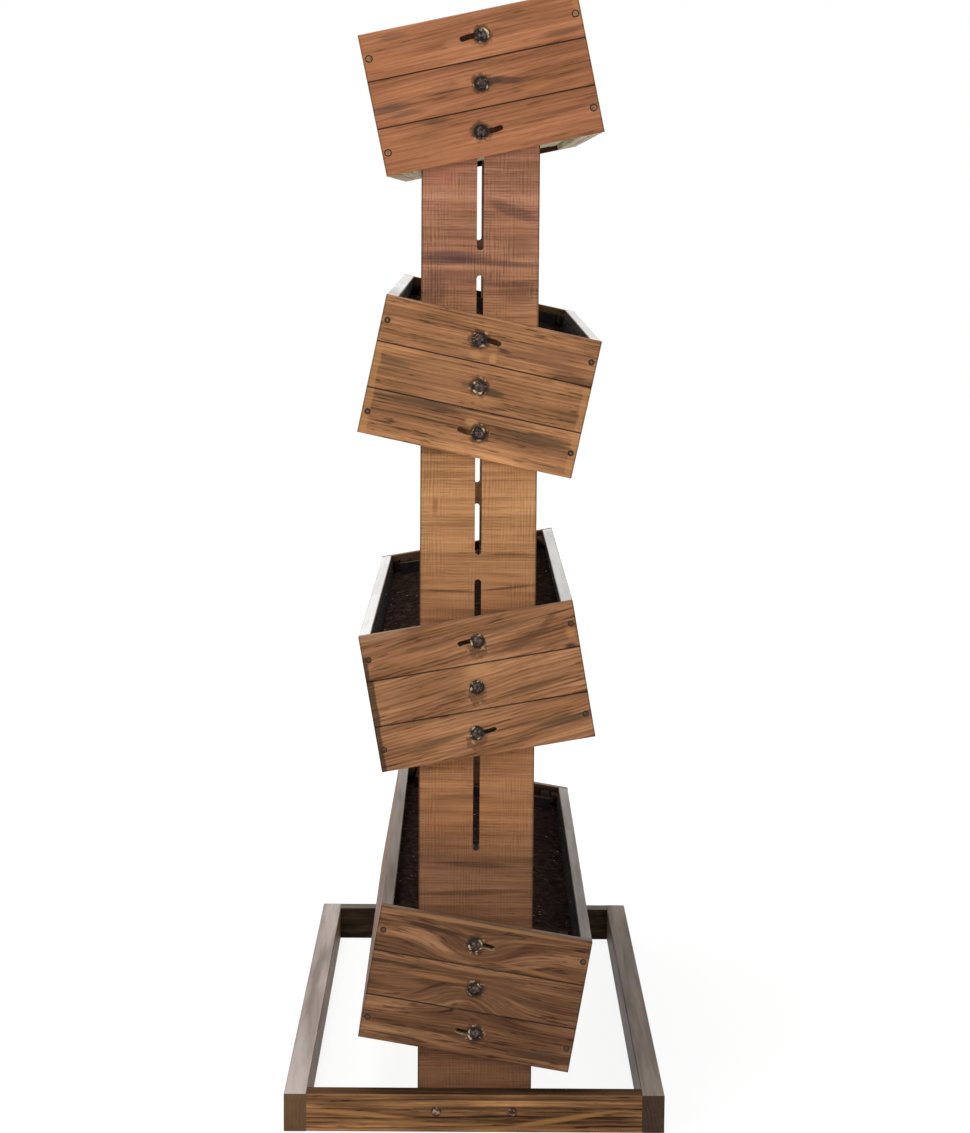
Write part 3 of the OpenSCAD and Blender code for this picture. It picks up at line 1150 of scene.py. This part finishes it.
    def liner(self, material: Material) -> None:
        """Folds the liner sheet into the trough, its upper edge a little uneven.

        Args:
            material: The liner's material.
        """
        liner = self.inside_grid("liner_sheet", self.liner_gap, 28, 120)
        for vertex in liner.data.vertices:
            vertex.co.z = INSIDE_Z + self.liner_gap
        with edit_mode():
            bpy.ops.mesh.select_all(action="SELECT")
            bpy.ops.mesh.region_to_loop()
            for level in (*FOLDS, self.corner_top, self.liner_top):
                bpy.ops.mesh.extrude_edges_move(TRANSFORM_OT_translate={"value": (0, 0, 0.001)})
                level_selected(liner, level)
            bpy.ops.mesh.select_all(action="SELECT")
            bpy.ops.mesh.normals_make_consistent(inside=False)
        fold_y = self.panel_y - CLEAT_D - 0.003
        for vertex in liner.data.vertices:
            x, y, z = vertex.co
            if z < LINER_EDGE:
                continue
            wave = math.sin(y * 37 + self.tier) + 0.6 * math.sin(y * 83 + x * 61 + 2.1 * self.tier)
            vertex.co.z = self.corner_top + 0.0004 if abs(y) > fold_y else z - 0.0016 + 0.0009 * wave
        choose(liner)
        thick = liner.modifiers.new("thickness", "SOLIDIFY")
        thick.thickness = LINER_T
        thick.offset = -1.0
        bpy.ops.object.modifier_apply(modifier=thick.name)
        self.finish(liner, material, "liner")
        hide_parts(self.node("liner"))
        self.node("floor")

    def screws(self, stock: Stock) -> None:
        """Drives four screws into each end panel, none of them quite in line.

        Args:
            stock: Has the screws' materials.
        """
        for outward, end in ((-1, "front"), (1, "rear")):
            face_y = outward * (self.panel_y + BOARD_T + 0.0001)
            heads = []
            for i, (sx, sz) in enumerate(((-1, -1), (1, -1), (-1, 1), (1, 1))):
                spot = (sx * SCREW_X + SCREW_JITTER[i], face_y, sz * BOARD_H + 2 * SCREW_JITTER[3 - i])
                heads.append(self.screw.build(spot, outward, stock))
            piece = joined(heads, self.node(f"{end}_screws"), self.place)
            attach(piece, self.body)

    def staples(self, steel: Material) -> None:
        """Staples the liner's upper edge to the walls.

        Args:
            steel: The staples' material.
        """
        wires = []
        for side in (-1, 1):
            for i in range(STAPLES):
                y = STAPLE_FROM + STAPLE_PITCH * i + 0.011 * math.sin(7.0 * i + self.tier + side)
                wire = rod(8, STAPLE_R, STAPLE_W, (side * (INNER_X - 0.0015), y, self.liner_top - 0.0085))
                with edit_mode():
                    pick_faces(wire, lambda face: abs(face.normal.y) > 0.9)
                    bpy.ops.mesh.inset(thickness=0.0002, depth=0.0003)
                wire.data.materials.append(steel)
                wires.append(wire)
        piece = joined(wires, self.node("staples"), self.place)
        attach(piece, self.body)

    def finish(self, piece: Piece, material: Material, slot: str) -> None:
        """Puts a piece in its place on the trough.

        Args:
            piece: The piece, made in the trough's own frame.
            material: Its material.
            slot: Not used.
        """
        piece.data.materials.append(material)
        piece.data.transform(self.place)
        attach(piece, self.body)

    def build(self, stock: Stock) -> None:
        """Builds and dresses the trough.

        Args:
            stock: The materials that it shares with the others.
        """
        self.dress_boards()
        self.soil(stock.soil)
        self.liner(stock.liner)
        self.screws(stock)
        self.staples(stock.nuts)
        dress(self.node("bolts"), stock.bolts)
        dress(self.node("nuts"), stock.nuts)
        log.info("trough %d dressed", self.tier)


@dataclass(frozen=True)
class Timber:
    """One rail or post of the base frame."""

    node: str
    wood: WoodFinish
    grain: Grain
    boards: Boards = Boards()

    def build(self) -> None:
        """Gives the timber its wood."""
        dress(self.node, self.wood.build(Matrix.Identity(4), self.grain, self.boards))


FIRST_MARKS = (
    Mark(36, -1, 30, 7, "5c4034", 0.8, -18),
    Mark(20, 1, 12, 6, "4a3730", 0.7),
    Mark(-51, -2, 42, 2.8, "543829", 0.75, 1),
    Mark(-147, -9, 34, 10, "60483c", 0.6),
    Mark(-120, -22, 40, 6, "60483c", 0.45),
    Mark(-79, -42, 26, 6.5, "584232", 0.65),
    Mark(-119, 97, 22, 7, "6c5040", 0.45),
    Mark(132, 52, 44, 7, "6e4e3a", 0.6),
    Mark(60, 88, 30, 5, "6e4e3a", 0.4),
    Mark(120, -66, 45, 3, "6a4632", 0.55, 2),
    Mark(75, -72, 35, 2.5, "6a4632", 0.55, 4),
    Mark(-28, 68, 16, 6, "bf8660", 0.45),
    Mark(-30, 12, 14, 10, "bb825c", 0.4),
    Mark(82, -20, 26, 7, "ba7c50", 0.5),
    Mark(-140, 60, 26, 6, "b87c50", 0.45),
    Mark(165, 85, 5, 30, "c08a54", 0.45),
)
SECOND_MARKS = (
    Mark(-141, 7, 40, 10, "4e3e2e", 0.55),
    Mark(-85, -44, 85, 9.5, "46382a", 0.62),
    Mark(118, -58, 46, 10, "5f4834", 0.6),
    Mark(60, -45, 50, 5, "5f4834", 0.45),
    Mark(96, 69, 70, 19, "80563e", 0.6),
    Mark(128, 46, 30, 6, "6a4a36", 0.5),
    Mark(-16, 48, 11, 6.5, "c08a58", 0.65),
    Mark(11, 48, 6, 8.5, "c6905e", 0.7),
    Mark(10, -20, 30, 8, "b8865a", 0.5),
    Mark(-5, -27, 4, 3.5, "874b3c", 0.6),
    Mark(22, -4, 17, 7, "54442f", 0.85),
    Mark(-21, 0, 9, 5, "604c36", 0.65),
    Mark(26, 62, 11, 3.5, "503028", 0.75),
    Mark(17, 72, 6, 3.5, "96826a", 0.7),
    Mark(0, -56, 10, 6, "c29060", 0.65),
    Mark(0, -96, 10, 5, "b48454", 0.55),
    Mark(-60, 20, 40, 8, "b07f55", 0.4),
)
THIRD_MARKS = (
    Mark(6, 27, 26, 13, "bd8d5f", 0.65),
    Mark(-6, 8, 16, 10, "a9794e", 0.55),
    Mark(-140, 104, 50, 6, "ab8262", 0.6, ragged=0.6),
    Mark(156, 40, 11, 5, "40302c", 0.9),
    Mark(85, 60, 48, 5.5, "5f432f", 0.6, 15),
    Mark(128, 86, 22, 6, "5f432f", 0.55, 42),
    Mark(60, 86, 60, 8, "6d5038", 0.5, 6),
    Mark(-70, 74, 50, 5, "6d5038", 0.5, 4),
    Mark(160, 60, 10, 10, "c4864e", 0.55),
    Mark(128, -75, 45, 8, "5c4634", 0.65),
    Mark(100, -10, 55, 5.5, "6a4a32", 0.6, 9),
    Mark(-82, -80, 50, 6, "664a32", 0.6, 10),
    Mark(-40, -5, 22, 6, "6a4c38", 0.5, 6),
    Mark(60, 50, 50, 5, "6a4a34", 0.5, 9),
    Mark(-100, 62, 40, 11, "a97350", 0.45),
    Mark(110, -48, 50, 6, "b87c52", 0.45),
    Mark(-110, -55, 40, 6, "b07a50", 0.45),
)
FOURTH_MARKS = (
    Mark(0, 105, 190, 3.5, "a0764f", 0.7, ragged=0.5),
    Mark(-81, 87, 60, 5, "3c281d", 0.8, -4),
    Mark(-45, 71, 28, 11, "503628", 0.6, -14),
    Mark(-70, -9, 40, 2.8, "3a261b", 0.75, 29),
    Mark(-128, 21, 46, 3, "44301f", 0.7),
    Mark(-68, 9, 60, 4.5, "a07048", 0.65),
    Mark(-120, -10, 45, 7, "8c6243", 0.55),
    Mark(-116, -96, 65, 6.5, "38271c", 0.7),
    Mark(-50, -97, 50, 3.5, "9a6e4a", 0.65, -6),
    Mark(77, 45, 70, 3.5, "9a6a44", 0.65, -4),
    Mark(120, -90, 60, 8, "423025", 0.6),
    Mark(40, 0, 32, 30, "6e4e37", 0.6),
    Mark(100, -8, 50, 6, "4c3526", 0.55, -8),
    Mark(130, -45, 50, 4, "8a6042", 0.55, -3),
)
RIM_STAINS = (
    Mark(-10, 109.5, 11, 20, "5c5650", 0.8, ragged=0.5),
    Mark(-325, 109.5, 10, 20, "5c5650", 0.75, ragged=0.5),
    Mark(-210, 109.5, 60, 20, "bdb8b2", 0.5),
)
POST_MARKS = (
    Mark(-45, 1391, 60, 14, "5a4646", 0.7, ragged=1.0),
    Mark(20, 1386, 85, 6.5, "5a4038", 0.65, -4, 0.8),
    Mark(50, 1466, 56, 10, "6a4a3c", 0.7, -22, 1.0),
    Mark(-20, 1365, 60, 12, "7c5646", 0.45, 0, 1.0),
    Mark(60, 1340, 30, 20, "77523f", 0.45, 0, 1.0),
    Mark(60, 1410, 30, 20, "77523f", 0.45, 0, 1.0),
    Mark(48, 1484, 45, 2.5, "d09c74", 0.5, -8, 0.8),
    Mark(-72, 1345, 20, 30, "6c4c44", 0.5, 0, 1.0),
    Mark(-55, 1515, 20, 15, "c27c5c", 0.5, 0, 1.2),
    Mark(50, 1352, 45, 3.5, "5c4232", 0.6, 0, 1.0),
    Mark(-74, 1092, 22, 8, "6f4a36", 0.6, 0, 1.0),
    Mark(-68, 1008, 4, 18, "7a4e34", 0.55, 0, 1.0),
    Mark(48, 930, 36, 2.5, "6f4a34", 0.65, 0, 1.0),
    Mark(46, 876, 46, 2.8, "5c3c28", 0.75, 6, 1.0),
    Mark(-45, 871, 46, 2.5, "5c3c28", 0.65, -2, 1.0),
    Mark(0, 430, 80, 6, "4c3424", 0.6, -3, 1.0),
    Mark(0, 385, 90, 5, "4c3424", 0.5, 2, 1.0),
    Mark(-30, 540, 60, 5, "76543a", 0.5, 3, 1.0),
)
RAIL_MARKS = (
    # Painted shadow: the rail's upper band darker
    Mark(20, 56, 280, 6, "3c2a1e", 0.7, 0, 0.8),
    Mark(60, 40, 160, 4, "45301f", 0.6, 1, 1.0),
    Mark(-190, 30, 90, 4, "b0804f", 0.65, -5, 1.0),
    Mark(-90, 14, 110, 3, "a97a4c", 0.6, -2, 1.0),
    Mark(140, 22, 90, 4, "b0804f", 0.65, 9, 1.0),
    Mark(60, 8, 120, 3, "9a6e46", 0.55, 2, 1.0),
    Mark(-60, 24, 70, 2.2, "3a281c", 0.6, -3, 1.0),
)


def troughs() -> list[Trough]:
    """The four troughs from top to bottom, with their woods.

    Returns:
        The troughs.
    """
    raw = WoodFinish("raw_boards", dark="a19272", mid="d9cba4", light="ece2c2", smear="9a8d6e", seed=9,
                     rings=0.15, top_light_and_shade=0.0, smears=0.3, roughness=0.6)
    inner = WoodFinish("inner_boards", dark="2a1f18", mid="4c3a2d", light="7b6552", smear="261c16", seed=15,
                       specular=0.0, top_light_and_shade=0.9, top=("16110e", "3d322a"))
    first = dict(dark="6a442e", mid="a86e4c", light="ce8d64", smear="584033")
    second = dict(dark="5a3f28", mid="a2714d", light="da9d6b", smear="4a3828")
    third = dict(dark="5a3b24", mid="9b6c4a", light="cd966b", smear="4c3424")
    fourth = dict(dark="3b2518", mid="704d35", light="a87b57", smear="2c1e15")
    # Near-white wall tops: a painted reflection of the bright surround
    wall = dict(wander=0.005, slope=0.025, ring_gap=0.0055, fibre=0.7, top_gloss=0.7, inward_shade=0.9,
                top=("d9d6d3", "fbfaf9"))
    # The bottom trough's wall tops are greyer: painted shade under the trough above
    low_wall = {**wall, "top": ("6c635c", "9c928b"), "top_gloss": 0.17}
    return [
        Trough(1, 1.65886, -12.0, 0.140, raw=raw, inner=inner, screw=Screw(0.0092, 0.0116),
               panel=WoodFinish("top_panel", seed=1, edge_line=0.4, rings=0.15, slope=0.03, wander=0.003,
                                ring_gap=0.0048, fibre=0.75, face=0.5838, aside=0.05, lean=0.03, dashes=0.35,
                                streak=0.78, smears=0.15, shift=0.05, bolt_scuff_and_shade=0.8, top_light_and_shade=0.5,
                                marks=FIRST_MARKS, **first),
               wall=WoodFinish("top_wall", seed=2, bare_foot="e6d9b2", top_light_and_shade=0.97, **wall, **first)),
        Trough(2, 1.19396, 12.0, 0.025, raw=raw, inner=inner,
               panel=WoodFinish("second_panel", seed=3, edge_line=0.4, rings=0.2, slope=0.03, wander=0.002,
                                ring_gap=0.0045, fibre=0.75, face=0.5838, aside=0.04, dashes=0.7,
                                streak=0.95, smears=0.2, shift=0.05, bolt_scuff_and_shade=0.9, top_light_and_shade=0.3,
                                end_band=0.008, end_colour="c48e5a", end_top=0.034, end_share=0.45,
                                marks=SECOND_MARKS, **second),
               wall=WoodFinish("second_wall", seed=4, top_light_and_shade=0.98, marks=RIM_STAINS, **wall, **second)),
        Trough(3, 0.70998, -10.08, -0.055, raw=raw, inner=inner, sag=1.1, panel_y=0.576928,
               panel=WoodFinish("third_panel", seed=5, edge_line=0.4, rings=0.22, slope=0.03, wander=0.009,
                                ring_gap=0.0052, fibre=0.7, face=0.5864, aside=0.075, lean=0.12, dashes=0.5,
                                streak=0.85, smears=0.2, shift=0.05, bolt_scuff_and_shade=0.6,
                                end_band=0.004, end_colour="34271f", end_side=-1, end_top=0.078,
                                marks=THIRD_MARKS, **third),
               wall=WoodFinish("third_wall", seed=6, top_light_and_shade=0.98, marks=RIM_STAINS, **wall, **third)),
        Trough(4, 0.23066, 9.72, 0.200, raw=raw, inner=inner,
               panel=WoodFinish("bottom_panel", seed=7, edge_line=0.4, rings=0.36, slope=0.015, wander=0.003,
                                ring_gap=0.0046, fibre=0.95, aside=0.03, pith=0.03, dashes=0.6, streak=0.85,
                                smears=0.1, shift=0.0, bolt_scuff_and_shade=0.7, fan=1.7, fan_width=0.075,
                                fan_height=0.021, marks=FOURTH_MARKS, **fourth),
               wall=WoodFinish("bottom_wall", seed=8, top_light_and_shade=0.9, **low_wall, **fourth)),
    ]


def base() -> list[Timber]:
    """The rails and posts of the base frame, with their woods.

    Returns:
        The timbers.
    """
    post = WoodFinish("post_wood", dark="805839", mid="b8845e", light="dda678", smear="634637", seed=13,
                      rings=0.18, slope=0.05, pith=0.05, aside=0.03, wander=0.02, ring_gap=0.013,
                      streak=0.9, dashes=0.3, smears=0.2, shift=0.0, saw=0.6, roughness=0.6,
                      edge_line=0.55, slot_shade=0.7, inward_shade=0.6, marks=POST_MARKS,
                      # Height tints: darker low down, partly the wood's tone and partly painted shade
                      tints=((0.05, "aea8a9"), (0.25, "a9a3a5"), (0.29, "d8cec4"), (0.50, "dbd5ca"),
                             (0.56, "ffffef"), (0.68, "ffffef"), (0.78, "e3dbe5"), (0.85, "f1e9fa")))
    # The front rail's dark top is painted shade
    front = WoodFinish("front_rail_wood", dark="372419", mid="8a6444", light="c9925f", smear="33231a",
                       seed=10, rings=0.24, slope=0.04, wander=0.004, ring_gap=0.0065, aside=0.05,
                       face=0.592, streak=1.0, dashes=0.4, fibre=0.8, shift=0.0, smears=0.1,
                       top_light_and_shade=0.8, top=("2c2018", "46352a"), specular=0.0, marks=RAIL_MARKS)
    # Very dark: partly the rail's stain, partly painted shade
    rear = WoodFinish("rear_rail_wood", dark="120d09", mid="2c2119", light="5c4938", smear="1c150f",
                      seed=14)
    # Painted light: the left rail's top paler and the right rail's top darker, as if lit from the left
    left = WoodFinish("left_rail_wood", dark="503a2a", mid="6f543f", light="94775d", smear="4a3c35",
                      end_grain="644b33", seed=11, top_light_and_shade=0.9, top=("94877f", "c9bdb7"))
    right = WoodFinish("right_rail_wood", dark="3d2d24", mid="5f4b3e", light="8a7465", smear="4a3c35",
                       end_grain="3c2c22", seed=16, top_light_and_shade=0.9, top=("655a51", "938478"))
    plank = Boards(reach=0.0915)
    return [
        Timber("front_rail", front, Grain.PANEL),
        Timber("rear_rail", rear, Grain.PANEL),
        Timber("left_rail", left, Grain.WALL),
        Timber("right_rail", right, Grain.WALL),
        Timber("front_post", post, Grain.PANEL, plank),
        Timber("rear_post", replace(post, name="rear_post_wood", seed=post.seed + 20), Grain.PANEL, plank),
    ]


def main() -> None:
    """Builds the studio and dresses the bed."""
    logging.basicConfig(level=logging.INFO, format="%(name)s: %(message)s")
    Studio().build()
    brass = SteelFinish("screw_brass", dark="6a5036", light="a98c5f", metal=0.4, gloss=0.35).build()
    # Painted shade: the dark ring in the gap round each screw head
    shade_ring = WoodFinish("screw_shade_ring", dark="17100b", mid="2a1c13", light="3d2a1d", seed=12, rings=0.0)
    stock = Stock(
        soil=SoilFinish().build(),
        liner=LinerFinish().build(),
        bolts=SteelFinish("bolt_steel").build(),
        nuts=SteelFinish("washer_steel", dark="241c17", light="c4b08c", edges=(0.53, 0.66), scale=120.0,
                         gloss=0.25, metal=0.7).build(),
        screws=SteelFinish("screw_dark", dark="33241b", light="5e4632", metal=0.3, gloss=0.4).build(),
        shade_ring=shade_ring.build(Matrix.Identity(4), Grain.PANEL, Boards()))
    for trough in troughs():
        trough.build(replace(stock, screws=brass) if trough.tier == 1 else stock)
    for timber in base():
        timber.build()
    steel = SteelFinish("base_steel", dark="3a261c", light="a88e78", edges=(0.50, 0.72), scale=110.0).build()
    for node in ("base_bolts", "base_nuts"):
        dress(node, steel)
    log.info("base frame dressed")


if __name__ == "__main__":
    main()
